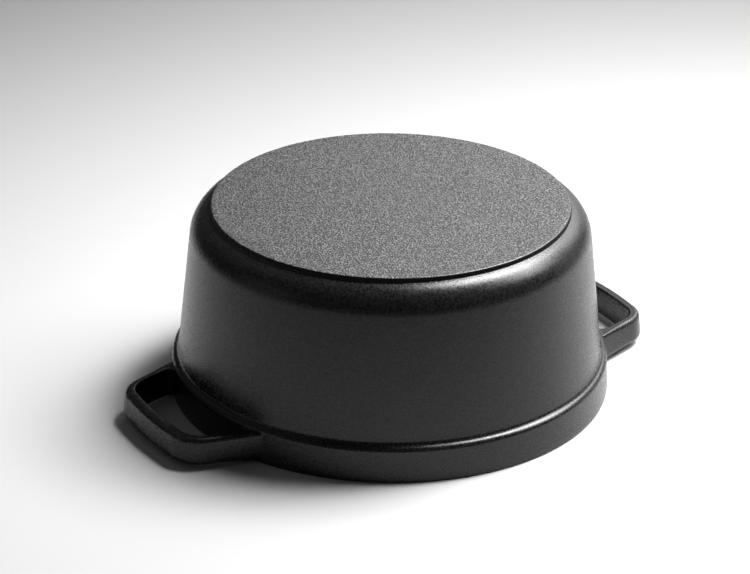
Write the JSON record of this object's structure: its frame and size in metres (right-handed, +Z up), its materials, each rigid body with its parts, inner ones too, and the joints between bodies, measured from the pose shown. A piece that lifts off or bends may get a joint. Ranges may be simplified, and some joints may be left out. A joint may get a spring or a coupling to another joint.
{
  "type": "dutch oven",
  "caption": "Round cast iron dutch oven stored mouth down over its lid, with a raised grainy base pad, a thick rim band, loop handles cast in one with the pot and a steel lid knob.",
  "frame": {"origin": "on the pot's axis, at the height of the table that the rim stands on", "axes": "+Z up out of the base pad, opposite to the pot's mouth; +X through the loop handles"},
  "size_m": [0.328, 0.26, 0.1145],
  "materials": {
    "pot_casting": "satin matte black over fine cast grain",
    "lid_casting": "satin matte black over fine cast grain",
    "knob_steel": "turned and brushed",
    "screw_steel": "plain stainless",
    "spring_steel": "dull spring steel"
  },
  "bodies": {
    "lid_assembly": {"lid": "lid_casting", "lid_knob": "knob_steel", "knob_screw": "screw_steel", "flat_washer": "screw_steel", "lock_washer": "spring_steel"},
    "pot": {"pot_body": "pot_casting"}
  },
  "joints": [
    {"name": "pot_lift", "type": "slide", "parent": "lid_assembly", "child": "pot", "axis": [0, 0, 1], "range_m": [0, 0.12]}
  ]
}
